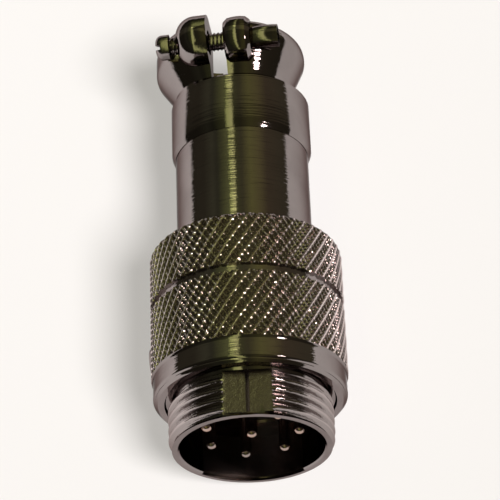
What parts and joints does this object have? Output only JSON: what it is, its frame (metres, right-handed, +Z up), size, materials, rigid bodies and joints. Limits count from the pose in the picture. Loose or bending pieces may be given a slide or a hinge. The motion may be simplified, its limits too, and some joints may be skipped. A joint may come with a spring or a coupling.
{
  "type": "microphone plug",
  "caption": "In-line round plug with an outside coupling thread, knurled grip, recessed contact pins and a screwed cable clamp.",
  "frame": {"origin": "on the plug's axis in the plane of the front rim", "axes": "+Y along the plug from the contacts to the cable end, +X from the loose saddle to the fixed clamp half, +Z up as the plug lies"},
  "size_m": [0.0193, 0.0463, 0.0192],
  "materials": {
    "plated_casting": "bright nickel plating on die castings and turned parts",
    "plated_contact": "polished nickel plating on brass contacts",
    "plated_screw": "bright nickel plating on steel screws",
    "spring_steel": "plain spring steel",
    "black_insulator": "black moulded thermoset"
  },
  "bodies": {
    "plug": {"front_shell": "plated_casting", "pin_insulator": "black_insulator", "insulator_snap_ring": "spring_steel", "contact_pin_1": "plated_contact", "contact_pin_2": "plated_contact", "contact_pin_3": "plated_contact", "contact_pin_4": "plated_contact", "contact_pin_5": "plated_contact", "contact_pin_6": "plated_contact", "contact_pin_7": "plated_contact", "contact_pin_8": "plated_contact", "knurled_sleeve": "plated_casting", "barrel": "plated_casting", "lock_screw": "plated_screw"},
    "saddle": {"clamp_saddle": "plated_casting"},
    "screw_top": {"clamp_screw_top": "plated_screw"},
    "screw_bottom": {"clamp_screw_bottom": "plated_screw"}
  },
  "joints": [
    {"name": "saddle_slide", "type": "slide", "parent": "plug", "child": "saddle", "axis": [1, 0, 0], "range_m": [-0.0009, 0.0016]},
    {"name": "screw_top_turn", "type": "hinge", "parent": "saddle", "child": "screw_top", "pos_m": [-0.0065, 0.0434, 0.0062], "axis": [1, 0, 0], "range_deg": [-812, 1442]},
    {"name": "screw_bottom_turn", "type": "hinge", "parent": "saddle", "child": "screw_bottom", "pos_m": [-0.0065, 0.0434, -0.0062], "axis": [1, 0, 0], "range_deg": [-812, 1442]}
  ],
  "couplings": [
    {"joint": "screw_top_turn", "follows": "saddle_slide", "rad_per_m": 15708},
    {"joint": "screw_bottom_turn", "follows": "saddle_slide", "rad_per_m": 15708}
  ]
}
